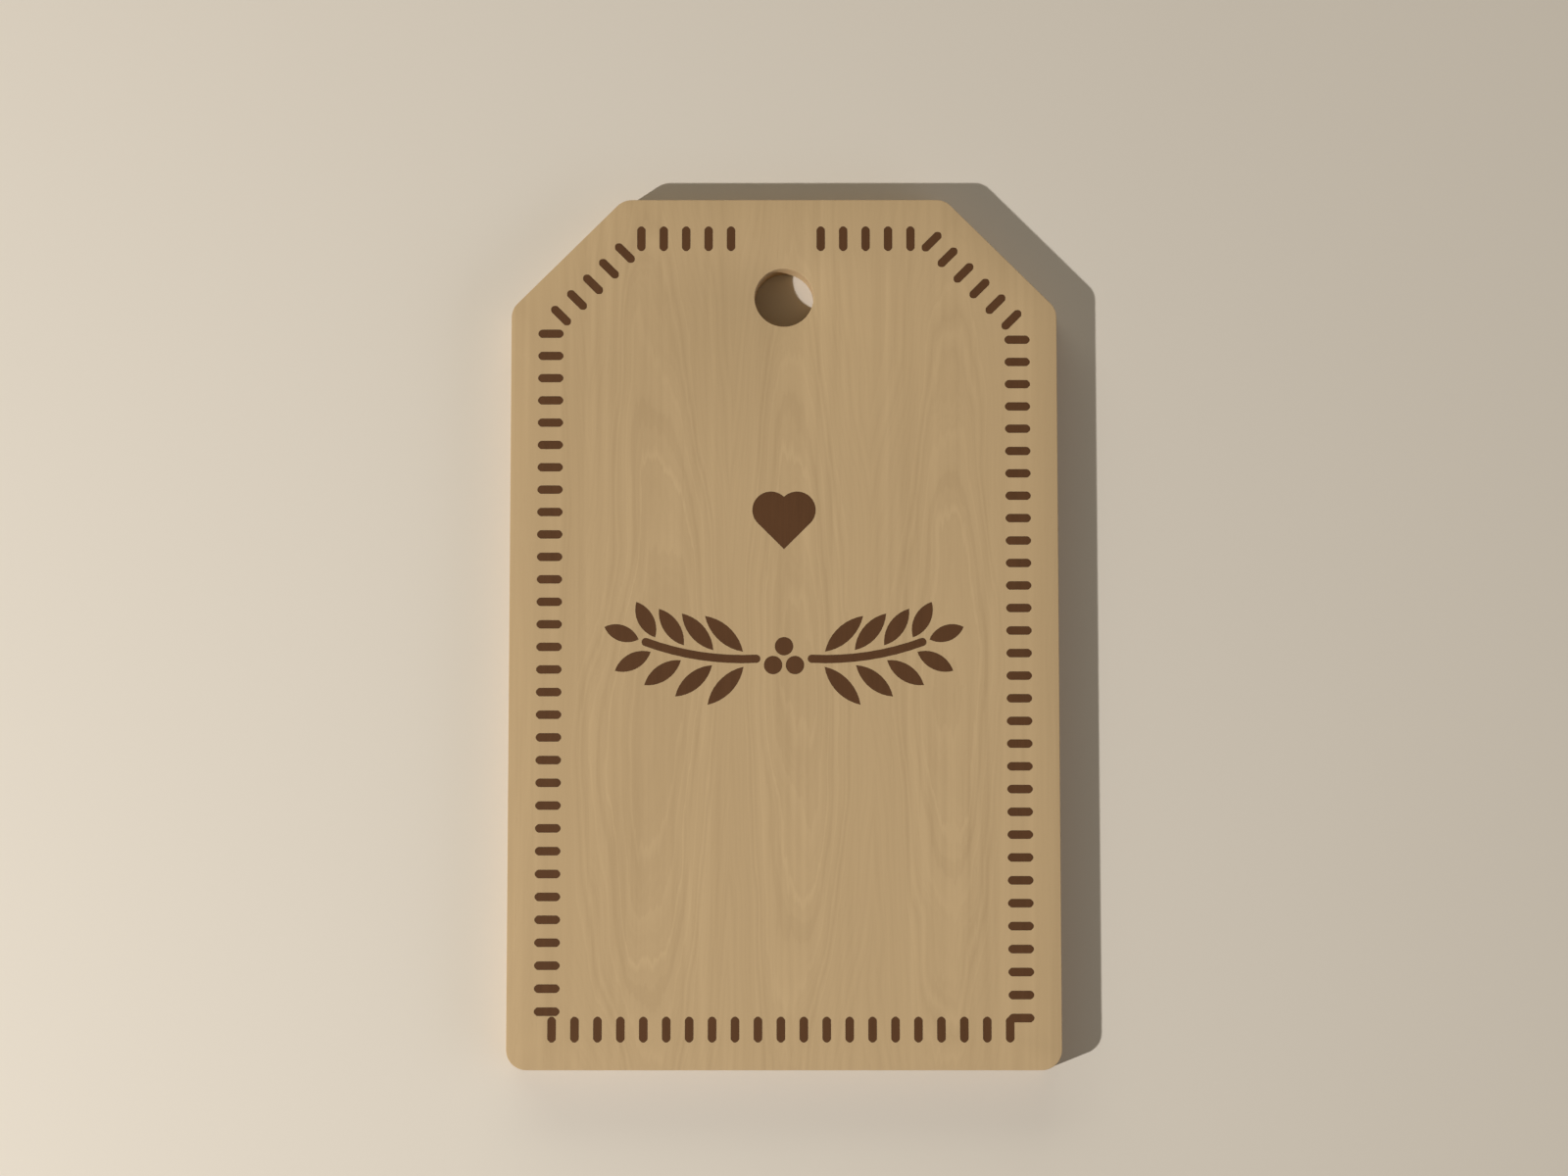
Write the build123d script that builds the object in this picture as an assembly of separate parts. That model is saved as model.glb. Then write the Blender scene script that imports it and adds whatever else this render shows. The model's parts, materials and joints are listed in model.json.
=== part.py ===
from build123d import *
import os
from math import radians, sin, sqrt

# Gift tag of three-ply wood with dark veneer inlays.
# It lies on its back: X across, Y towards the hanging hole, Z up out of the face.
# The origin is the middle of the back. All sizes are in millimetres.

# Board
TAG_WIDTH = 49.0
TAG_HEIGHT = 78.0
SHOULDER_LEG = 10.0
CORNER_RADIUS = 1.8
FACE_PLY = 0.6
CORE_PLY = 1.8
BACK_PLY = 0.6

# Hanging hole
HOLE_DIAMETER = 5.3
HOLE_FROM_TOP = 8.94

# Border of stitches, broken above the hole
BORDER_INSET = 3.56
STITCH_PITCH = 2.02
STITCH_LENGTH = 2.23
STITCH_WIDTH = 0.72
BREAK_MARGIN = 0.4

# Heart
HEART_SIDE = 3.3
HEART_ABOVE_CENTRE = 9.6

# Sprig: two branches either side of three berries
SPRIG_BELOW_CENTRE = 2.6
SPRIG_MARGIN = 3.6
STEM_WIDTH = 0.7
STEM_RISE = 1.5
STEM_RADIUS = 25.0
LEAF_LENGTH = 4.6
TIP_LEAF_LENGTH = 3.2
LEAF_WIDTH = 1.4
LEAF_SPREAD = 45.0
LEAF_GAP = 0.35
BERRY_DIAMETER = 1.6

# Play all round between an inlay and the window cut for it
INLAY_FIT = 0.02

# Sides of the border in the order in which it is laid, from the bottom right corner upwards
BORDER_RUNS = ["right_side", "right_shoulder", "top", "left_shoulder", "left_side", "bottom"]

# Levels and places that follow from the sizes
CORE_LEVEL = BACK_PLY
FACE_LEVEL = BACK_PLY + CORE_PLY
HOLE_Y = TAG_HEIGHT / 2 - HOLE_FROM_TOP
LEAF_SLANT = sin(radians(LEAF_SPREAD))


def tag_corners(inset):
    """Corners of the tag's outline drawn in by an inset, from the bottom right upwards."""
    half_width = TAG_WIDTH / 2 - inset
    half_height = TAG_HEIGHT / 2 - inset
    leg = SHOULDER_LEG - inset * (2 - sqrt(2))
    return [
        (half_width, -half_height),
        (half_width, half_height - leg),
        (half_width - leg, half_height),
        (leg - half_width, half_height),
        (-half_width, half_height - leg),
        (-half_width, -half_height),
    ]


def board_outline():
    """Outline of every ply: rounded corners, cut-off shoulders and the hanging hole."""
    blank = make_face(Polyline(*tag_corners(0), close=True))
    blank = fillet(blank.vertices(), CORNER_RADIUS)
    return blank - Pos(0, HOLE_Y) * Circle(HOLE_DIAMETER / 2)


def stitch_places():
    """Side and place of every stitch, in equal steps that start half a step from the first corner."""
    corners = tag_corners(BORDER_INSET)
    sides = [Line(start, end) for start, end in zip(corners, corners[1:] + corners[:1])]
    path_length = sum(side.length for side in sides)
    step = path_length / round(path_length / STITCH_PITCH)
    break_half = HOLE_DIAMETER / 2 + BREAK_MARGIN
    places = []
    along = step / 2
    for run, side in zip(BORDER_RUNS, sides):
        square_to_side = Rot(Z=side.tangent_angle_at(0) + 90)
        while along < side.length:
            point = side.position_at(along, PositionMode.LENGTH)
            along += step
            if run != "top":
                places.append((run, Pos(point) * square_to_side))
            elif abs(point.X) > break_half:
                half = "top_right" if point.X > 0 else "top_left"
                places.append((half, Pos(point) * square_to_side))
        along -= side.length
    return places


def stitch():
    """One stitch along X: a short stroke whose ends are rounded in three straight cuts."""
    stroke = Rectangle(STITCH_LENGTH, STITCH_WIDTH)
    return chamfer(stroke.vertices(), STITCH_WIDTH / 3)


def stitch_runs():
    """Stitches by node. One that runs into the stitch before it is cut in one piece with that."""
    strokes = [(run, place * stitch()) for run, place in stitch_places()]
    node, before = strokes[-1]
    nodes = {}
    for run, stroke in strokes:
        if stroke.distance_to(before) > 0:
            node = run
        nodes.setdefault("stitches_" + node, []).append(stroke)
        before = stroke
    return nodes


def heart():
    """Heart: a square on its corner with a round lobe on both upper sides."""
    lobe_offset = HEART_SIDE / (2 * sqrt(2))
    lobes = [Pos(x, lobe_offset) * Circle(HEART_SIDE / 2) for x in (-lobe_offset, lobe_offset)]
    return Rot(Z=45) * Rectangle(HEART_SIDE, HEART_SIDE) + lobes


def berries():
    """Three berries in a close triangle at the middle of the sprig."""
    ring = (BERRY_DIAMETER + LEAF_GAP) / sqrt(3)
    return [place * Circle(BERRY_DIAMETER / 2) for place in PolarLocations(ring, 3, start_angle=90)]


def stem_line():
    """Centre line of the right-hand stem: a shallow arc that climbs away from the berries."""
    border_inside = TAG_WIDTH / 2 - BORDER_INSET - STITCH_LENGTH / 2
    cap = STEM_WIDTH / 2 + LEAF_GAP
    start = BERRY_DIAMETER + LEAF_GAP / 2 + cap
    end = border_inside - SPRIG_MARGIN - TIP_LEAF_LENGTH - cap
    return RadiusArc((start, 0), (end, STEM_RISE), -STEM_RADIUS)


def leaf(length):
    """Leaf along X from its base: two arcs that meet in points."""
    upper = ThreePointArc((0, 0), (length / 2, LEAF_WIDTH / 2), (length, 0))
    lower = ThreePointArc((length, 0), (length / 2, -LEAF_WIDTH / 2), (0, 0))
    return make_face([upper, lower])


def branch_leaves():
    """Leaves of the right-hand branch: pairs that grow longer inwards, and one at the tip."""
    line = stem_line()
    cap = STEM_WIDTH / 2 + LEAF_GAP
    # Leaves on the hollow side of the stem lean together, so the pitch gives them their gap there
    reach = cap + LEAF_LENGTH / 2 * LEAF_SLANT
    pitch = (LEAF_WIDTH + LEAF_GAP) / LEAF_SLANT / (1 - reach / STEM_RADIUS)
    pairs = int(line.length / pitch + 0.5)
    blades = [Pos(line @ 1) * Rot(Z=line.tangent_angle_at(1)) * Pos(cap, 0) * leaf(TIP_LEAF_LENGTH)]
    for number in range(pairs):
        along = line.length - (number + 0.5) * pitch
        length = TIP_LEAF_LENGTH + (LEAF_LENGTH - TIP_LEAF_LENGTH) * (number + 1) / pairs
        point = line.position_at(along, PositionMode.LENGTH)
        heading = line.tangent_angle_at(along / line.length)
        for spread in (-LEAF_SPREAD, LEAF_SPREAD):
            blades.append(Pos(point) * Rot(Z=heading + spread) * Pos(cap / LEAF_SLANT, 0) * leaf(length))
    return blades


def inlay_shapes():
    """Outlines of the inlays by node."""
    shapes = {name: Sketch() + strokes for name, strokes in stitch_runs().items()}
    sprig = Pos(0, -SPRIG_BELOW_CENTRE)
    shapes["heart"] = Pos(0, HEART_ABOVE_CENTRE) * heart()
    shapes["sprig_berries"] = sprig * (Sketch() + berries())
    shapes["sprig_right_stem"] = sprig * SlotArc(stem_line(), STEM_WIDTH)
    shapes["sprig_right_leaves"] = sprig * (Sketch() + branch_leaves())
    for piece in ("stem", "leaves"):
        shapes[f"sprig_left_{piece}"] = mirror(shapes[f"sprig_right_{piece}"], about=Plane.YZ)
    return shapes


def windows(shapes):
    """Cut-outs in the face veneer: every inlay's outline, let out by the play."""
    outlines = [outline for shape in shapes.values() for outline in shape.faces()]
    return [offset(outline, INLAY_FIT, kind=Kind.INTERSECTION) for outline in outlines]


def tag_pieces():
    """Every piece of the tag by node: three plies, and inlays seated on the core in their windows."""
    outline = board_outline()
    shapes = inlay_shapes()
    pieces = {
        "back_veneer": extrude(outline, BACK_PLY),
        "core_ply": Pos(0, 0, CORE_LEVEL) * extrude(outline, CORE_PLY),
        "face_veneer": Pos(0, 0, FACE_LEVEL) * extrude(outline - windows(shapes), FACE_PLY),
    }
    for name, shape in shapes.items():
        pieces[name] = Pos(0, 0, FACE_LEVEL) * extrude(shape, FACE_PLY)
    return pieces


os.makedirs("parts", exist_ok=True)
for node, piece in tag_pieces().items():
    export_step(piece, f"parts/{node}.step")
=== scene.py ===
import json
from math import cos, pi, radians, sin

import bmesh
import bpy
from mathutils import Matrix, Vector
from mathutils.geometry import delaunay_2d_cdt


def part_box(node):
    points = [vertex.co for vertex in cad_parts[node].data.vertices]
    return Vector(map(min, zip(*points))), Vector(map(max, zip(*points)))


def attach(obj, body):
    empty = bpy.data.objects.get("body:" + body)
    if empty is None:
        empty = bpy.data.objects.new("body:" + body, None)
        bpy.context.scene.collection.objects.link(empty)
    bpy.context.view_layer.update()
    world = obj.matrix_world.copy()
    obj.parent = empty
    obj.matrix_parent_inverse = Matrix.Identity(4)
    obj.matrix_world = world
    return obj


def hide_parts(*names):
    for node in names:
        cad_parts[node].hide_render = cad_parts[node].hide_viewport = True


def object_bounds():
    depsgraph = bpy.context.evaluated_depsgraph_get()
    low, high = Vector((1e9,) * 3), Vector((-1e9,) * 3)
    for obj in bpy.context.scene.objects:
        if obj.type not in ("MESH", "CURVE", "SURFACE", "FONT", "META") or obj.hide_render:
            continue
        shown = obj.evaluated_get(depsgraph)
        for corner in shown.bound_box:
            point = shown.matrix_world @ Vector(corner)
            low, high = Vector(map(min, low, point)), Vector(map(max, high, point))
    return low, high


bl_info = {
    "name": "Inlaid Gift Tag",
    "version": (1, 0, 0),
    "blender": (4, 5, 0),
    "location": "3D View > Sidebar > Gift Tag",
    "description": "Finishes a wooden gift tag: eased veneers, inlays in dark wood and a plain stage",
    "category": "Object",
}

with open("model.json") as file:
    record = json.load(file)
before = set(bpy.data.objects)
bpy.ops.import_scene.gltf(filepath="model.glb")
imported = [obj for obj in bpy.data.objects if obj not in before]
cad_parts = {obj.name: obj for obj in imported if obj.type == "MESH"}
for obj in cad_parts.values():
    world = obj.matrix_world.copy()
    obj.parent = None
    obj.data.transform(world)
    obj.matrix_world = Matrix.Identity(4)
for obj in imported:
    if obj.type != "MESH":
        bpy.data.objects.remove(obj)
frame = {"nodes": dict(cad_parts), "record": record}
cad_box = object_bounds()

MM = 0.001
FACE_NODE = "face_veneer"
CORE_NODE = "core_ply"
BACK_NODE = "back_veneer"
STITCH_NODES = sorted(name for name in frame["nodes"] if name.startswith("stitches_"))
MOTIF_NODES = ["heart"] + sorted(name for name in frame["nodes"] if name.startswith("sprig_"))
HOLE_MIDDLE = Vector(
    next(mount["pos_m"][:2] for mount in frame["record"]["mounts"] if mount["name"] == "hanging_hole")
)

# Limits for what counts as one point, a lying or standing face, a smooth edge or a stitch's end corner
SAME_CORNER = 0.0002 * MM
SAME_LEVEL = 0.001 * MM
SAME_STEP = 0.001 * MM
SAME_MIDDLE = 0.1 * MM
LYING_FACE = 0.9
STANDING_FACE = 0.5
SMOOTH_ANGLE = radians(28)
END_CORNER_LEAST = radians(30)
END_CORNER_MOST = radians(60)

# How the flat wood is filled: triangles inside the outline, with the windows left open
FILL_BUT_WINDOWS = 2
FILL_CLOSENESS = 0.0001

# Sockets of a colour mix
MIX_FIRST = 6
MIX_SECOND = 7
MIX_RESULT = 2

# Places of the two veneers in the tree, in millimetres
FACE_CUT = (-1.4, 4.0, 0.0)
BACK_CUT = (45.0, -12.0, 20.0)

# Stage values that nobody would change
TAG_MIDDLE = (0.0, 0.0, 0.0)
FLOOR_SIDES = 96
FLOOR_GAP = 0.01 * MM
SENSOR_WIDTH = 36.0
NEAREST_SEEN = 0.01
FARTHEST_SEEN = 20.0


# Settings that a user would change

class BoardSettings(bpy.types.PropertyGroup):
    """Edges and wood of the three plies."""

    arris: bpy.props.FloatProperty(
        name="Arris",
        description="Width of the sanded edge round the board and round the hole",
        default=0.07 * MM, min=0.0, unit="LENGTH", precision=5,
    )
    arris_steps: bpy.props.IntProperty(
        name="Arris Steps",
        description="Faces across the sanded edge",
        default=3, min=1, max=8,
    )
    face_light: bpy.props.FloatVectorProperty(
        name="Veneer Light",
        description="Early wood of the face and back veneers",
        subtype="COLOR", size=3, min=0.0, max=1.0, default=(0.481, 0.334, 0.1754),
    )
    face_dark: bpy.props.FloatVectorProperty(
        name="Veneer Dark",
        description="Late wood of the face and back veneers",
        subtype="COLOR", size=3, min=0.0, max=1.0, default=(0.403, 0.275, 0.1406),
    )
    core_light: bpy.props.FloatVectorProperty(
        name="Core Light",
        description="Early wood of the core ply",
        subtype="COLOR", size=3, min=0.0, max=1.0, default=(0.490, 0.335, 0.176),
    )
    core_dark: bpy.props.FloatVectorProperty(
        name="Core Dark",
        description="Late wood and pores of the core ply",
        subtype="COLOR", size=3, min=0.0, max=1.0, default=(0.385, 0.252, 0.126),
    )
    glue_colour: bpy.props.FloatVectorProperty(
        name="Glue Line",
        description="Colour of the glue lines along the edges of the core",
        subtype="COLOR", size=3, min=0.0, max=1.0, default=(0.270, 0.170, 0.084),
    )
    glue_width: bpy.props.FloatProperty(
        name="Glue Line Width",
        description="Height of each glue line on the edge",
        default=0.05 * MM, min=0.0, unit="LENGTH", precision=5,
    )
    crest_spacing: bpy.props.FloatProperty(
        name="Crest Spacing",
        description="Distance across the veneer between two columns of arched grain",
        default=13.0 * MM, min=MM, unit="LENGTH", precision=4,
    )
    arch_steepness: bpy.props.FloatProperty(
        name="Arch Steepness",
        description="Distance by which the flank of an arch drops for the same distance to the side",
        default=9.0, min=0.0,
    )
    arch_rounding: bpy.props.FloatProperty(
        name="Arch Rounding",
        description="Half the width of the rounded top of an arch",
        default=3.4 * MM, min=0.1 * MM, unit="LENGTH", precision=4,
    )
    ring_spacing: bpy.props.FloatProperty(
        name="Ring Spacing",
        description="Distance along the veneer from one arch to the next",
        default=5.0 * MM, min=0.1 * MM, unit="LENGTH", precision=4,
    )
    fibre_width: bpy.props.FloatProperty(
        name="Fibre Width",
        description="Width of the finest streaks in the veneer",
        default=0.24 * MM, min=0.01 * MM, unit="LENGTH", precision=5,
    )
    fibre_length: bpy.props.FloatProperty(
        name="Fibre Length",
        description="Length of the finest streaks in the veneer",
        default=9.0 * MM, min=0.1 * MM, unit="LENGTH", precision=4,
    )
    fibre_relief: bpy.props.FloatProperty(
        name="Fibre Relief",
        description="Depth of the sanded fibres and pores",
        default=0.003 * MM, min=0.0, unit="LENGTH", precision=6,
    )


class InlaySettings(bpy.types.PropertyGroup):
    """Ends and wood of the inlays."""

    end_reach: bpy.props.FloatProperty(
        name="End Rounding",
        description="Length of straight cut that is worked round at each corner of a stitch's end",
        default=0.12 * MM, min=0.0, unit="LENGTH", precision=5,
    )
    end_steps: bpy.props.IntProperty(
        name="End Steps",
        description="Faces round each worked corner of a stitch's end",
        default=5, min=1, max=16,
    )
    dark_light: bpy.props.FloatVectorProperty(
        name="Inlay Light",
        description="Lighter fibres of the dark inlay wood",
        subtype="COLOR", size=3, min=0.0, max=1.0, default=(0.0950, 0.0410, 0.0159),
    )
    dark_deep: bpy.props.FloatVectorProperty(
        name="Inlay Deep",
        description="Darker fibres of the inlay wood",
        subtype="COLOR", size=3, min=0.0, max=1.0, default=(0.0752, 0.0319, 0.0119),
    )


class StageSettings(bpy.types.PropertyGroup):
    """Floor, lamp, soft panels, faint sky and camera."""

    floor_colour: bpy.props.FloatVectorProperty(
        name="Floor",
        description="Colour of the plain pale floor",
        subtype="COLOR", size=3, min=0.0, max=1.0, default=(0.611, 0.545, 0.452),
    )
    floor_radius: bpy.props.FloatProperty(
        name="Floor Radius",
        description="Radius of the round floor",
        default=3.0, min=0.2, unit="LENGTH",
    )
    lamp_place: bpy.props.FloatVectorProperty(
        name="Lamp Place",
        description="Middle of the lamp, low at the left of the tag",
        subtype="TRANSLATION", size=3, default=(-0.370, -0.196, 0.318),
    )
    lamp_aim: bpy.props.FloatVectorProperty(
        name="Lamp Aim",
        description="Point on the floor that the lamp faces",
        subtype="TRANSLATION", size=3, default=(-0.012, 0.136, 0.0),
    )
    lamp_size: bpy.props.FloatProperty(
        name="Lamp Size",
        description="Diameter of the lamp's round front, which softens the shadow",
        default=0.012, min=0.001, unit="LENGTH",
    )
    lamp_power: bpy.props.FloatProperty(
        name="Lamp Power",
        description="Power of the lamp",
        default=3.24, min=0.0, unit="POWER",
    )
    lamp_colour: bpy.props.FloatVectorProperty(
        name="Lamp Colour",
        description="Colour of the lamp",
        subtype="COLOR", size=3, min=0.0, max=1.0, default=(0.960, 0.974, 1.0),
    )
    side_panel_place: bpy.props.FloatVectorProperty(
        name="Side Panel Place",
        description="Middle of the soft panel at the right of the tag",
        subtype="TRANSLATION", size=3, default=(1.766, -0.643, 0.684),
    )
    side_panel_power: bpy.props.FloatProperty(
        name="Side Panel Power",
        description="Power of the soft panel at the right of the tag",
        default=13.9, min=0.0, unit="POWER",
    )
    side_panel_colour: bpy.props.FloatVectorProperty(
        name="Side Panel Colour",
        description="Colour of the soft panel at the right of the tag",
        subtype="COLOR", size=3, min=0.0, max=1.0, default=(0.760, 0.835, 1.0),
    )
    top_panel_place: bpy.props.FloatVectorProperty(
        name="Top Panel Place",
        description="Middle of the soft panel beyond the top of the tag",
        subtype="TRANSLATION", size=3, default=(-0.454, 1.824, 0.684),
    )
    top_panel_power: bpy.props.FloatProperty(
        name="Top Panel Power",
        description="Power of the soft panel beyond the top of the tag",
        default=17.7, min=0.0, unit="POWER",
    )
    top_panel_colour: bpy.props.FloatVectorProperty(
        name="Top Panel Colour",
        description="Colour of the soft panel beyond the top of the tag",
        subtype="COLOR", size=3, min=0.0, max=1.0, default=(0.977, 1.0, 0.917),
    )
    panel_width: bpy.props.FloatProperty(
        name="Panel Width",
        description="Width of both soft panels",
        default=2.4, min=0.01, unit="LENGTH",
    )
    panel_height: bpy.props.FloatProperty(
        name="Panel Height",
        description="Height of both soft panels",
        default=0.8, min=0.01, unit="LENGTH",
    )
    sky_colour: bpy.props.FloatVectorProperty(
        name="Sky Colour",
        description="Colour of the faint light from all round",
        subtype="COLOR", size=3, min=0.0, max=1.0, default=(1.0, 0.82, 0.58),
    )
    sky_strength: bpy.props.FloatProperty(
        name="Sky Strength",
        description="Strength of the faint light from all round",
        default=0.136, min=0.0,
    )
    camera_place: bpy.props.FloatVectorProperty(
        name="Camera Place",
        description="Place of the camera above the tag",
        subtype="TRANSLATION", size=3, default=(0.00056, -0.03890, 0.36714),
    )
    camera_turn: bpy.props.FloatVectorProperty(
        name="Camera Turn",
        description="Turn of the camera from looking straight down",
        subtype="EULER", size=3, default=(radians(6.6795), radians(0.089), radians(-0.004)),
    )
    lens: bpy.props.FloatProperty(
        name="Lens",
        description="Focal length on a sensor 36 mm wide",
        default=94.33, min=10.0, unit="CAMERA",
    )


# Outlines and sheets

def rim_outlines(node, level):
    """Closed outlines of a CAD node at one level, with the wood on the left of every step."""
    mesh = bmesh.new()
    mesh.from_mesh(frame["nodes"][node].data)
    bmesh.ops.remove_doubles(mesh, verts=mesh.verts, dist=SAME_CORNER)
    mesh.normal_update()
    following = {}
    for face in mesh.faces:
        if face.normal.z < LYING_FACE or abs(face.calc_center_median().z - level) > SAME_LEVEL:
            continue
        for corner in face.loops:
            if any(abs(wall.normal.z) < STANDING_FACE for wall in corner.edge.link_faces):
                following[corner.vert.index] = corner.link_loop_next.vert.index
    mesh.verts.ensure_lookup_table()
    outlines = []
    while following:
        start, step = following.popitem()
        outline = [start]
        while step != start:
            outline.append(step)
            step = following.pop(step)
        outlines.append([mesh.verts[index].co.to_2d() for index in outline])
    mesh.free()
    if not outlines:
        raise RuntimeError(f"no outline was found on {node}")
    return outlines


def is_board_edge(outline):
    """True for the board's own outline and for the hanging hole."""
    middle = sum(outline, Vector((0.0, 0.0))) / len(outline)
    reach = max((point - middle).length for point in outline)
    is_outer = reach > (cad_box[1] - cad_box[0]).y / 4
    is_hole = (middle - HOLE_MIDDLE).length < SAME_MIDDLE
    return is_outer or is_hole


def worked_outlines(node, level, inlay):
    """Outlines of a CAD node at one level, with the stitches' ends worked round."""
    outlines = rim_outlines(node, level)
    return [rounded_ends(outline, inlay.end_reach, inlay.end_steps) for outline in outlines]


def steps_of(outline):
    """Every point of an outline between the one before it and the one after it."""
    return zip(outline[-1:] + outline[:-1], outline, outline[1:] + outline[:1])


def rounded_ends(outline, reach, steps):
    """An outline whose corners of about an eighth of a turn are worked round."""
    worked = []
    for before, corner, after in steps_of(outline):
        arriving = corner - before
        leaving = after - corner
        if not END_CORNER_LEAST < abs(arriving.angle_signed(leaving)) < END_CORNER_MOST:
            worked.append(corner)
            continue
        length = min(reach, arriving.length / 2, leaving.length / 2)
        first = corner - arriving.normalized() * length
        last = corner + leaving.normalized() * length
        for number in range(steps + 1):
            share = number / steps
            worked.append(first.lerp(corner, share).lerp(corner.lerp(last, share), share))
    return without_doubles(worked)


def without_doubles(outline):
    """An outline without the points that lie on the one before, where two worked corners meet."""
    return [point for before, point, _ in steps_of(outline) if (point - before).length > SAME_STEP]


def drawn_in(outline, depth):
    """An outline moved into the wood by a small depth."""
    moved = []
    for before, point, after in steps_of(outline):
        arriving = (point - before).normalized()
        leaving = (after - point).normalized()
        inward = Vector((-arriving.y - leaving.y, arriving.x + leaving.x))
        moved.append(point + inward * depth / (1 + arriving.dot(leaving)))
    return moved


def arris_profile(arris, steps):
    """Depth into the wood and distance from the face, across a sanded edge."""
    turns = [number / steps * pi / 2 for number in range(steps + 1)]
    return [(arris * (1 - cos(turn)), arris * (1 - sin(turn))) for turn in turns]


def raise_wall(mesh, outline, levels):
    """Wall along an outline through levels of depth and height, with its lowest and highest ring."""
    rings = []
    for depth, height in levels:
        points = drawn_in(outline, depth)
        rings.append([mesh.verts.new((point.x, point.y, height)) for point in points])
    for below, above in zip(rings, rings[1:]):
        for number in range(len(below)):
            mesh.faces.new((below[number - 1], below[number], above[number], above[number - 1]))
    return rings[0], rings[-1]


def fill_wood(mesh, rings):
    """Flat wood between closed rings, in triangles. The windows stay open."""
    corners = [corner for ring in rings for corner in ring]
    number_of = {corner: number for number, corner in enumerate(corners)}
    loops = [[number_of[corner] for corner in ring] for ring in rings]
    points = [corner.co.to_2d() / MM for corner in corners]
    found = delaunay_2d_cdt(points, [], loops, FILL_BUT_WINDOWS, FILL_CLOSENESS)
    faces, sources = found[2], found[3]
    for face in faces:
        mesh.faces.new([corners[sources[number][0]] for number in face])


def crisp_mesh(name, mesh):
    """Mesh data with smooth walls and crisp arrises, from a mesh in the making."""
    bmesh.ops.recalc_face_normals(mesh, faces=mesh.faces)
    data = bpy.data.meshes.new(name)
    mesh.to_mesh(data)
    mesh.free()
    data.shade_smooth()
    data.set_sharp_from_angle(angle=SMOOTH_ANGLE)
    return data


def veneer_mesh(name, outlines, eased_levels, square_levels):
    """Veneer with its windows: the board's own outline and hole are sanded, the windows are square."""
    mesh = bmesh.new()
    walls = [
        raise_wall(mesh, outline, eased_levels if is_board_edge(outline) else square_levels)
        for outline in outlines
    ]
    for rings in zip(*walls):
        fill_wood(mesh, rings)
    if not all(edge.is_manifold for edge in mesh.edges):
        raise RuntimeError(f"{name} could not be closed")
    return crisp_mesh(name, mesh)


def inlay_mesh(name, outlines, levels):
    """Inlays of one run, each closed above and below."""
    mesh = bmesh.new()
    for outline in outlines:
        for ring in raise_wall(mesh, outline, levels):
            mesh.faces.new(ring)
    return crisp_mesh(name, mesh)


def fit_piece(name, data, node, material):
    """Puts a finished mesh on the tag in the place of its CAD node."""
    piece = bpy.data.objects.new(name, data)
    bpy.context.scene.collection.objects.link(piece)
    data.materials.append(material)
    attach(piece, "root")
    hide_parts(node)


def finish_node(node, material):
    """Gives a CAD node that is shown as it is its finish."""
    shown = frame["nodes"][node]
    for slot in shown.material_slots:
        slot.material = material


# Finishes

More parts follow.
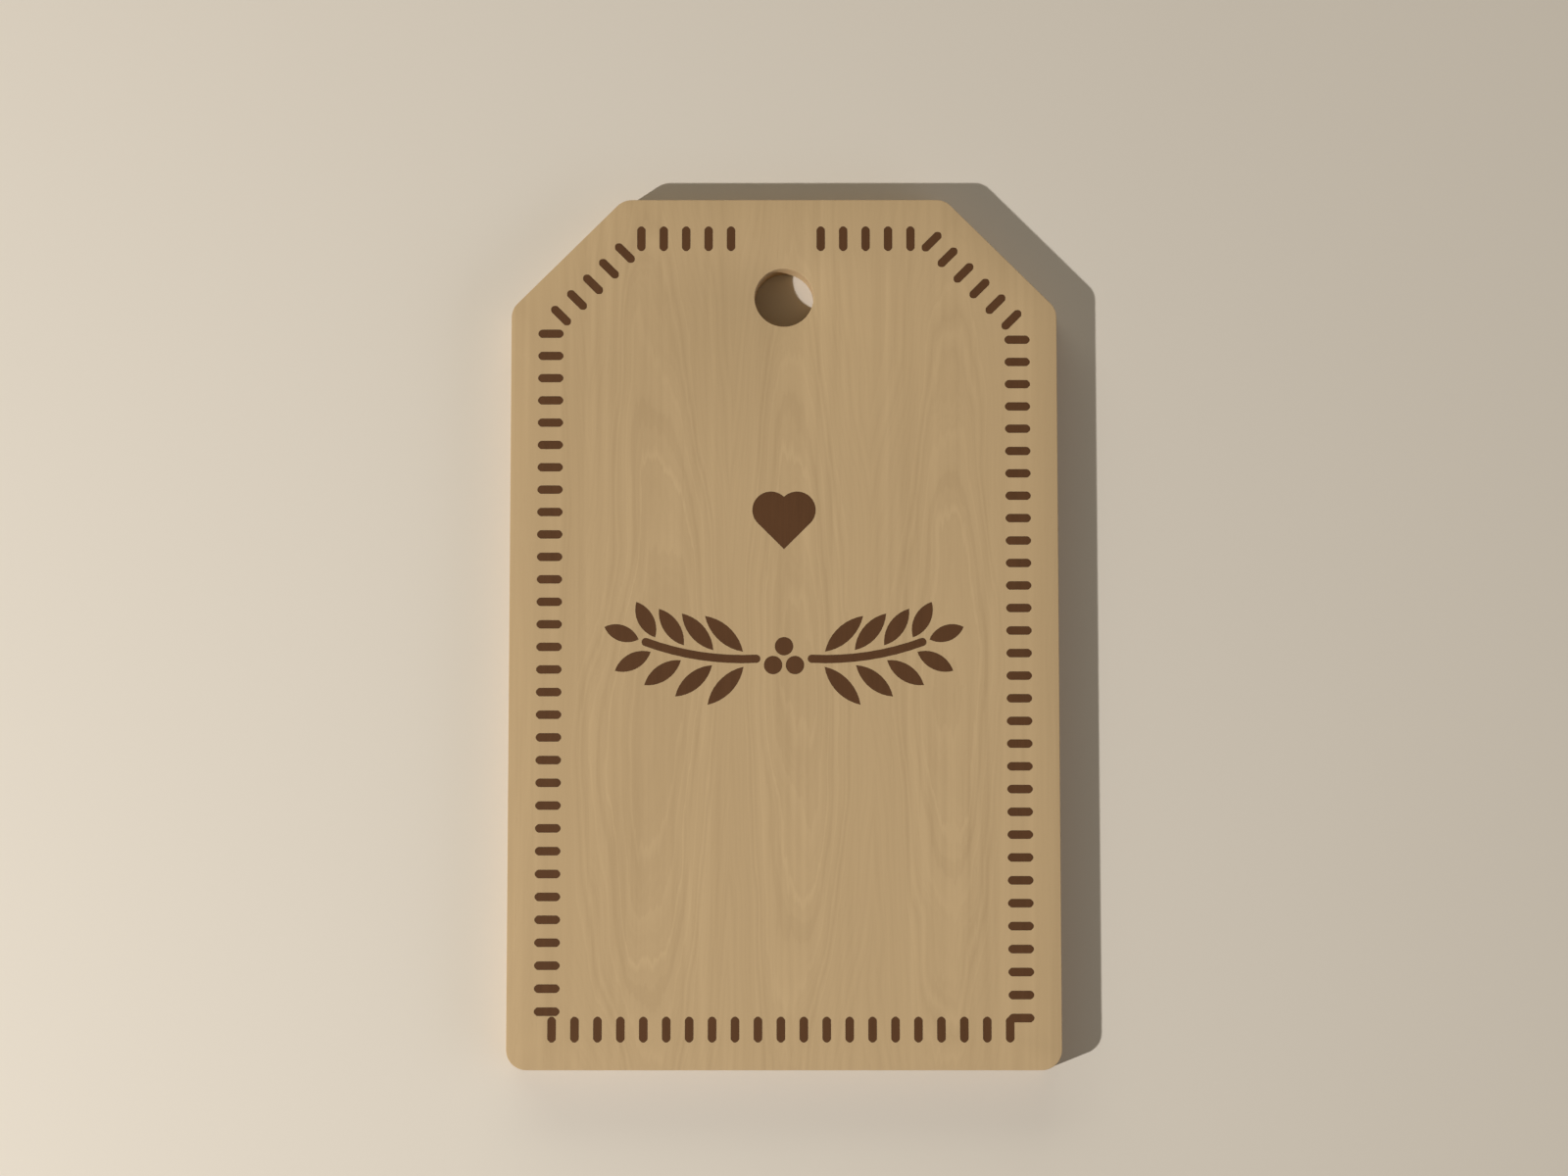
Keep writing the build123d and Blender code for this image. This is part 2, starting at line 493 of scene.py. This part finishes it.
class Finish:
    """A material in the making: adds its nodes and joins them. Places are in millimetres."""

    def __init__(self, name, shift=(0.0, 0.0, 0.0)):
        self.material = bpy.data.materials.new(name)
        self.material.use_nodes = True
        self.tree = self.material.node_tree
        self.shader = self.tree.nodes["Principled BSDF"]
        coordinates = self.add("ShaderNodeTexCoord").outputs["Object"]
        scale = (1 / MM, 1 / MM, 1 / MM)
        self.place = self.vector("MULTIPLY_ADD", coordinates, scale, shift)
        split = self.add("ShaderNodeSeparateXYZ", self.place)
        self.x, self.y, self.z = split.outputs

    def feed(self, socket, value):
        """Joins a socket to another one, or sets its value."""
        if isinstance(value, bpy.types.NodeSocket):
            self.tree.links.new(value, socket)
        else:
            socket.default_value = value

    def add(self, kind, *values, **settings):
        """Adds a node, sets it up and feeds its first sockets in order."""
        node = self.tree.nodes.new(kind)
        for name, value in settings.items():
            setattr(node, name, value)
        for socket, value in zip(node.inputs, values):
            self.feed(socket, value)
        return node

    def math(self, operation, *values, clamp=False):
        """Number worked out from others."""
        return self.add("ShaderNodeMath", *values, operation=operation, use_clamp=clamp).outputs[0]

    def vector(self, operation, *values):
        """Vector worked out from others."""
        return self.add("ShaderNodeVectorMath", *values, operation=operation).outputs[0]

    def total(self, *parts):
        """Sum of numbers, each with its weight."""
        result = 0.0
        for value, weight in parts:
            result = self.math("MULTIPLY_ADD", value, weight, result)
        return result

    def ramp(self, value, low, high, start=0.0, end=1.0):
        """Number that goes smoothly from start to end while the value goes from low to high."""
        node = self.add(
            "ShaderNodeMapRange", value, low, high, start, end, interpolation_type="SMOOTHSTEP",
        )
        return node.outputs[0]

    def cloud(self, cell, detail=2.0, shift=(0.0, 0.0, 0.0)):
        """Soft noise around zero, with cells in millimetres. The shift makes each cloud another one."""
        place = self.vector("MULTIPLY_ADD", self.place, tuple(1 / size for size in cell), shift)
        return self.noise("Vector", place, detail)

    def line_cloud(self, value, detail=2.0):
        """Soft noise around zero that follows one number."""
        return self.noise("W", value, detail, noise_dimensions="1D")

    def noise(self, socket, value, detail, **settings):
        """Soft noise around zero at the value that one of its sockets is given."""
        node = self.add("ShaderNodeTexNoise", **settings)
        self.feed(node.inputs[socket], value)
        self.feed(node.inputs["Scale"], 1.0)
        self.feed(node.inputs["Detail"], detail)
        return self.math("SUBTRACT", node.outputs["Fac"], 0.5)

    def blend(self, share, first, second):
        """Colour between two others."""
        mix = self.add("ShaderNodeMix", share, data_type="RGBA")
        self.feed(mix.inputs[MIX_FIRST], as_colour(first))
        self.feed(mix.inputs[MIX_SECOND], as_colour(second))
        return mix.outputs[MIX_RESULT]

    def done(self, colour, roughness, height, relief, gloss):
        """Joins colour, roughness and relief to the shader and hands over the material."""
        bump = self.add("ShaderNodeBump")
        self.feed(bump.inputs["Strength"], 1.0)
        self.feed(bump.inputs["Distance"], relief)
        self.feed(bump.inputs["Height"], height)
        self.feed(self.shader.inputs["Base Color"], colour)
        self.feed(self.shader.inputs["Roughness"], roughness)
        self.feed(self.shader.inputs["Specular IOR Level"], gloss)
        self.feed(self.shader.inputs["Normal"], bump.outputs["Normal"])
        return self.material


def as_colour(value):
    """A plain colour with its alpha, or the socket that was given."""
    if isinstance(value, bpy.types.NodeSocket):
        return value
    return (*value, 1.0)


def arch_distance(wood, board):
    """Distance outwards through columns of arches, in millimetres along the veneer."""
    crest_wander = 8.0
    soft_middle = 10.0
    swell_reach = 24.0
    lean = 0.3
    wander = wood.cloud((14.0, 46.0, 14.0), shift=(3.1, 0.4, 0.0))
    across = wood.math("MULTIPLY_ADD", wander, crest_wander, wood.x)
    from_crest = wood.math("PINGPONG", across, board.crest_spacing / MM / 2)
    square = wood.math("MULTIPLY", from_crest, from_crest)
    rounded = wood.math("ADD", square, (board.arch_rounding / MM) ** 2)
    flank = wood.math("MULTIPLY", from_crest, wood.math("DIVIDE", square, rounded))
    drop = wood.math("MULTIPLY", flank, board.arch_steepness)
    run = wood.math("SQRT", wood.math("MULTIPLY_ADD", wood.y, wood.y, soft_middle ** 2))
    swell = wood.cloud((9.0, 26.0, 9.0), shift=(0.0, 7.7, 1.2))
    return wood.total(
        (run, 1.0), (drop, 1.0), (swell, swell_reach), (wood.x, lean), (-soft_middle, 1.0),
    )


def ring_tone(wood, rings):
    """Tone of the growth rings: each darkens slowly outwards and ends in a sharp pale edge."""
    late_dark = 0.26
    early_pale = -0.19
    edge_start = 0.9
    pale_end = 0.4
    turn = wood.math("FRACT", rings)
    before_edge = wood.ramp(turn, edge_start, 1.0, start=1.0, end=0.0)
    late = wood.math("MULTIPLY", wood.math("MULTIPLY", turn, turn), before_edge)
    after_edge = wood.ramp(turn, 0.0, pale_end, start=1.0, end=0.0)
    early = wood.math("ADD", wood.ramp(turn, edge_start, 1.0), after_edge)
    season = wood.line_cloud(wood.math("MULTIPLY", rings, 0.45), detail=1.0)
    strength = wood.ramp(season, -0.2, 0.2)
    return wood.math("MULTIPLY", wood.total((late, late_dark), (early, early_pale)), strength)


def arch_reach(wood, outward, side):
    """Share of the arched grain: full in the middle, weak far out and along the two straight sides."""
    far_out = wood.ramp(outward, 22.0, 48.0, start=1.0, end=0.3)
    margin = wood.ramp(wood.math("ABSOLUTE", side), 17.0, 21.0, start=1.0, end=0.2)
    return wood.math("MULTIPLY", far_out, margin)


def veneer_finish(name, board, cut):
    """Pale veneer: columns of arched growth rings that run out into straight streaks, fibres, pores,
    and a painted drift paler towards the right that evens out the lamp's fall-off.
    """
    middle_tone = 0.463
    # Painted light: the veneer is painted slightly paler towards the right, against the lamp's fall-off
    # across the tag
    painted_paler_to_right = -0.008
    bands_per_ring = 1.2
    wood = Finish(name, cut)
    outward = arch_distance(wood, board)
    fray = wood.cloud((0.35, 5.0, 0.35), detail=3.0, shift=(5.0, 1.0, 0.0))
    rings = wood.total((outward, MM / board.ring_spacing), (fray, 0.7), (wood.z, 0.2))
    band = wood.line_cloud(wood.math("MULTIPLY", rings, bands_per_ring), detail=3.0)
    ring = wood.total((band, 1.6), (ring_tone(wood, rings), 1.0))
    side = wood.math("SUBTRACT", wood.x, cut[0])
    arches = wood.math("MULTIPLY", ring, arch_reach(wood, outward, side))
    lines = wood.cloud((0.7, 42.0, 0.7), detail=3.0, shift=(9.0, 2.0, 4.0))
    bundles = wood.cloud((3.5, 24.0, 3.5), shift=(4.0, 4.0, 1.0))
    streak = wood.math("MULTIPLY", lines, wood.ramp(bundles, -0.2, 0.2, start=0.35, end=1.45))
    fibre = (board.fibre_width / MM, board.fibre_length / MM, board.fibre_width / MM)
    thread = wood.cloud(fibre, detail=2.0, shift=(2.0, 6.0, 8.0))
    patch = wood.cloud((5.0, 14.0, 5.0), shift=(1.0, 3.0, 5.0))
    pores = wood.ramp(wood.cloud((0.10, 1.5, 0.10), detail=1.0), 0.17, 0.27)
    # The last weight paints the veneer paler towards the right, which flattens the lamp's fall-off
    dark = wood.total(
        (arches, 1.0), (streak, 1.25), (thread, 0.2), (patch, 0.15), (pores, 0.1),
        (side, painted_paler_to_right),
    )
    share = wood.math("ADD", dark, middle_tone, clamp=True)
    colour = wood.blend(share, board.face_light, board.face_dark)
    roughness = wood.total((thread, 0.25), (band, 0.1), (0.58, 1.0))
    height = wood.total((thread, 1.0), (pores, -1.2), (band, -0.3))
    return wood.done(colour, roughness, height, board.fibre_relief, gloss=0.15)


def core_finish(name, board):
    """Core ply laid across: end grain on the long sides, long grain on the ends, glue lines."""
    middle_tone = 0.22
    glue_waver = 0.06
    coarser_relief = 3
    wood = Finish(name)
    low, high = (corner.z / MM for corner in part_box(CORE_NODE))
    wander = wood.cloud((30.0, 6.0, 3.0))
    rings = wood.total((wood.z, 0.9), (wood.y, 0.16), (wander, 4.0))
    turn = wood.math("FRACT", rings)
    late = wood.math("MULTIPLY", turn, wood.ramp(turn, 0.8, 1.0, start=1.0, end=0.0))
    thread = wood.cloud((9.0, 0.22, 0.22), detail=3.0, shift=(2.0, 0.0, 1.0))
    pores = wood.ramp(wood.cloud((2.5, 0.11, 0.11), detail=1.0, shift=(0.0, 4.0, 3.0)), 0.12, 0.24)
    patch = wood.cloud((12.0, 5.0, 5.0), shift=(6.0, 1.0, 0.0))
    dark = wood.total((late, 0.4), (thread, 0.9), (pores, 0.45), (patch, 0.6))
    share = wood.math("ADD", dark, middle_tone, clamp=True)
    timber = wood.blend(share, board.core_light, board.core_dark)
    from_low = wood.math("SUBTRACT", wood.z, low)
    from_high = wood.math("SUBTRACT", high, wood.z)
    from_glue = wood.math("MINIMUM", from_low, from_high)
    uneven = wood.math("MULTIPLY_ADD", wood.cloud((0.6, 0.6, 2.0)), glue_waver, from_glue)
    width = board.glue_width / MM
    glue = wood.ramp(uneven, width * 0.5, width * 1.2, start=0.85, end=0.0)
    colour = wood.blend(glue, timber, board.glue_colour)
    roughness = wood.total((thread, 0.2), (pores, 0.1), (0.68, 1.0))
    height = wood.total((thread, 1.0), (pores, -1.5), (glue, -0.8))
    return wood.done(colour, roughness, height, board.fibre_relief * coarser_relief, gloss=0.12)


def inlay_finish(name, inlay, relief):
    """Dark inlay wood: close fibres along the tag with fine deep pores."""
    middle_tone = 0.45
    wood = Finish(name)
    streak = wood.cloud((0.5, 9.0, 0.5), detail=3.0, shift=(4.0, 1.0, 0.0))
    thread = wood.cloud((0.12, 3.0, 0.12), shift=(0.0, 2.0, 7.0))
    patch = wood.cloud((3.0, 6.0, 3.0), shift=(1.0, 0.0, 2.0))
    pores = wood.ramp(wood.cloud((0.08, 0.9, 0.08), detail=1.0, shift=(3.0, 3.0, 0.0)), 0.15, 0.26)
    dark = wood.total((streak, 1.2), (thread, 0.7), (patch, 0.9), (pores, 0.4))
    share = wood.math("ADD", dark, middle_tone, clamp=True)
    colour = wood.blend(share, inlay.dark_light, inlay.dark_deep)
    roughness = wood.total((thread, 0.3), (0.56, 1.0))
    height = wood.total((thread, 1.0), (pores, -1.2))
    return wood.done(colour, roughness, height, relief, gloss=0.12)


def floor_finish(name, stage):
    """Plain matt card with a faint mottle and a fine tooth."""
    mottle_tone = 0.012
    tooth_depth = 0.002 * MM
    card = Finish(name)
    mottle = card.cloud((34.0, 34.0, 34.0), detail=2.0)
    tooth = card.cloud((0.5, 0.5, 0.5), detail=2.0)
    share = card.math("ADD", card.total((mottle, 0.5), (tooth, 0.35)), 0.5, clamp=True)
    pale = tuple(min(1.0, part * (1 + mottle_tone)) for part in stage.floor_colour)
    deep = tuple(part * (1 - mottle_tone) for part in stage.floor_colour)
    colour = card.blend(share, deep, pale)
    roughness = card.total((tooth, 0.1), (0.85, 1.0))
    return card.done(colour, roughness, tooth, tooth_depth, gloss=0.2)


# Operators

class GIFTTAG_OT_board(bpy.types.Operator):
    """Make the face and back veneers with sanded edges, and finish the core between them"""

    bl_idname = "gift_tag.board"
    bl_label = "Board"
    bl_options = {"REGISTER", "UNDO"}

    def execute(self, context):
        board = context.scene.gift_tag_board
        inlay = context.scene.gift_tag_inlay
        edge = arris_profile(board.arris, board.arris_steps)
        for node, name in ((FACE_NODE, "face_veneer_eased"), (BACK_NODE, "back_veneer_eased")):
            low, high = (corner.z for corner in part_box(node))
            outlines = worked_outlines(node, high, inlay)
            square = [(0.0, low), (0.0, high)]
            if node == FACE_NODE:
                eased = square[:1] + [(depth, high - drop) for depth, drop in edge]
                material = veneer_finish("face veneer wood", board, FACE_CUT)
            else:
                eased = [(depth, low + rise) for depth, rise in reversed(edge)] + square[1:]
                material = veneer_finish("back veneer wood", board, BACK_CUT)
            data = veneer_mesh(name, outlines, eased, square)
            fit_piece(name, data, node, material)
        finish_node(CORE_NODE, core_finish("core ply wood", board))
        return {"FINISHED"}


class GIFTTAG_OT_stitches(bpy.types.Operator):
    """Make the stitches of the border with rounded ends, seated in their windows"""

    bl_idname = "gift_tag.stitches"
    bl_label = "Stitches"
    bl_options = {"REGISTER", "UNDO"}

    def execute(self, context):
        inlay = context.scene.gift_tag_inlay
        material = inlay_finish("dark stitch wood", inlay, context.scene.gift_tag_board.fibre_relief)
        for node in STITCH_NODES:
            low, high = (corner.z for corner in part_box(node))
            name = node + "_rounded"
            data = inlay_mesh(name, worked_outlines(node, high, inlay), [(0.0, low), (0.0, high)])
            fit_piece(name, data, node, material)
        return {"FINISHED"}


class GIFTTAG_OT_motif(bpy.types.Operator):
    """Finish the heart and the sprig in dark inlay wood"""

    bl_idname = "gift_tag.motif"
    bl_label = "Heart and Sprig"
    bl_options = {"REGISTER", "UNDO"}

    def execute(self, context):
        inlay = context.scene.gift_tag_inlay
        material = inlay_finish("dark motif wood", inlay, context.scene.gift_tag_board.fibre_relief)
        for node in MOTIF_NODES:
            finish_node(node, material)
        return {"FINISHED"}


class GIFTTAG_OT_stage(bpy.types.Operator):
    """Make the floor, the lamp, the soft panels, the faint sky and the camera"""

    bl_idname = "gift_tag.stage"
    bl_label = "Stage"
    bl_options = {"REGISTER", "UNDO"}

    def execute(self, context):
        stage = context.scene.gift_tag_stage
        lay_floor(stage)
        hang_lamps(stage)
        fill_world(stage)
        set_camera(stage)
        context.scene.view_settings.view_transform = "Standard"
        return {"FINISHED"}


def lay_floor(stage):
    """Round floor just under the tag."""
    mesh = bmesh.new()
    bmesh.ops.create_circle(mesh, cap_ends=True, segments=FLOOR_SIDES, radius=stage.floor_radius)
    bmesh.ops.translate(mesh, verts=mesh.verts, vec=(0.0, 0.0, cad_box[0].z - FLOOR_GAP))
    data = bpy.data.meshes.new("floor")
    mesh.to_mesh(data)
    mesh.free()
    data.materials.append(floor_finish("pale card", stage))
    floor = bpy.data.objects.new("floor", data)
    bpy.context.scene.collection.objects.link(floor)


def hang_lamps(stage):
    """Small round lamp at the left and two soft panels, at the right and beyond the top."""
    lamp = hang_light("lamp", stage.lamp_place, stage.lamp_aim, stage.lamp_power, stage.lamp_colour)
    lamp.shape = "DISK"
    lamp.size = stage.lamp_size
    panels = (
        ("side_panel", stage.side_panel_place, stage.side_panel_power, stage.side_panel_colour),
        ("top_panel", stage.top_panel_place, stage.top_panel_power, stage.top_panel_colour),
    )
    for name, place, power, colour in panels:
        panel = hang_light(name, place, TAG_MIDDLE, power, colour)
        panel.shape = "RECTANGLE"
        panel.size = stage.panel_width
        panel.size_y = stage.panel_height


def hang_light(name, place, aim, power, colour):
    """Area light at a place, turned towards the point that it faces."""
    light = bpy.data.lights.new(name, "AREA")
    light.energy = power
    light.color = colour
    hung = bpy.data.objects.new(name, light)
    hung.location = place
    away = Vector(place) - Vector(aim)
    hung.rotation_euler = away.to_track_quat("Z", "Y").to_euler()
    bpy.context.scene.collection.objects.link(hung)
    return light


def fill_world(stage):
    """Faint even light from all round. The camera and reflections see the floor's colour instead."""
    world = bpy.data.worlds.new("faint sky")
    world.use_nodes = True
    tree = world.node_tree
    sky = tree.nodes["Background"]
    sky.inputs["Color"].default_value = (*stage.sky_colour, 1.0)
    sky.inputs["Strength"].default_value = stage.sky_strength
    pale = tree.nodes.new("ShaderNodeBackground")
    pale.inputs["Color"].default_value = (*stage.floor_colour, 1.0)
    path = tree.nodes.new("ShaderNodeLightPath")
    seen = path.outputs["Is Camera Ray"]
    for kind in ("Is Glossy Ray", "Is Transmission Ray"):
        either = tree.nodes.new("ShaderNodeMath")
        either.operation = "MAXIMUM"
        tree.links.new(seen, either.inputs[0])
        tree.links.new(path.outputs[kind], either.inputs[1])
        seen = either.outputs[0]
    mix = tree.nodes.new("ShaderNodeMixShader")
    tree.links.new(seen, mix.inputs[0])
    tree.links.new(sky.outputs[0], mix.inputs[1])
    tree.links.new(pale.outputs[0], mix.inputs[2])
    tree.links.new(mix.outputs[0], tree.nodes["World Output"].inputs["Surface"])
    bpy.context.scene.world = world


def set_camera(stage):
    """Camera over the tag, tilted a little towards the hole."""
    data = bpy.data.cameras.new("camera")
    data.sensor_fit = "HORIZONTAL"
    data.sensor_width = SENSOR_WIDTH
    data.lens = stage.lens
    data.clip_start = NEAREST_SEEN
    data.clip_end = FARTHEST_SEEN
    camera = bpy.data.objects.new("camera", data)
    camera.location = stage.camera_place
    camera.rotation_euler = stage.camera_turn
    bpy.context.scene.collection.objects.link(camera)
    bpy.context.scene.camera = camera


# Panel and registration

class GIFTTAG_PT_panel(bpy.types.Panel):
    """Pieces of the gift tag and their settings"""

    bl_idname = "GIFTTAG_PT_panel"
    bl_label = "Gift Tag"
    bl_space_type = "VIEW_3D"
    bl_region_type = "UI"
    bl_category = "Gift Tag"

    def draw(self, context):
        scene = context.scene
        rows = (
            (scene.gift_tag_board, (GIFTTAG_OT_board,)),
            (scene.gift_tag_inlay, (GIFTTAG_OT_stitches, GIFTTAG_OT_motif)),
            (scene.gift_tag_stage, (GIFTTAG_OT_stage,)),
        )
        for settings, operators in rows:
            box = self.layout.box()
            for operator in operators:
                box.operator(operator.bl_idname)
            for name in settings.__annotations__:
                box.prop(settings, name)


CLASSES = (
    BoardSettings,
    InlaySettings,
    StageSettings,
    GIFTTAG_OT_board,
    GIFTTAG_OT_stitches,
    GIFTTAG_OT_motif,
    GIFTTAG_OT_stage,
    GIFTTAG_PT_panel,
)


def register():
    for kind in CLASSES:
        bpy.utils.register_class(kind)
    bpy.types.Scene.gift_tag_board = bpy.props.PointerProperty(type=BoardSettings)
    bpy.types.Scene.gift_tag_inlay = bpy.props.PointerProperty(type=InlaySettings)
    bpy.types.Scene.gift_tag_stage = bpy.props.PointerProperty(type=StageSettings)


def unregister():
    del bpy.types.Scene.gift_tag_stage
    del bpy.types.Scene.gift_tag_inlay
    del bpy.types.Scene.gift_tag_board
    for kind in reversed(CLASSES):
        bpy.utils.unregister_class(kind)


def main():
    register()
    bpy.ops.gift_tag.board()
    bpy.ops.gift_tag.stitches()
    bpy.ops.gift_tag.motif()
    bpy.ops.gift_tag.stage()


if __name__ == "__main__":
    main()
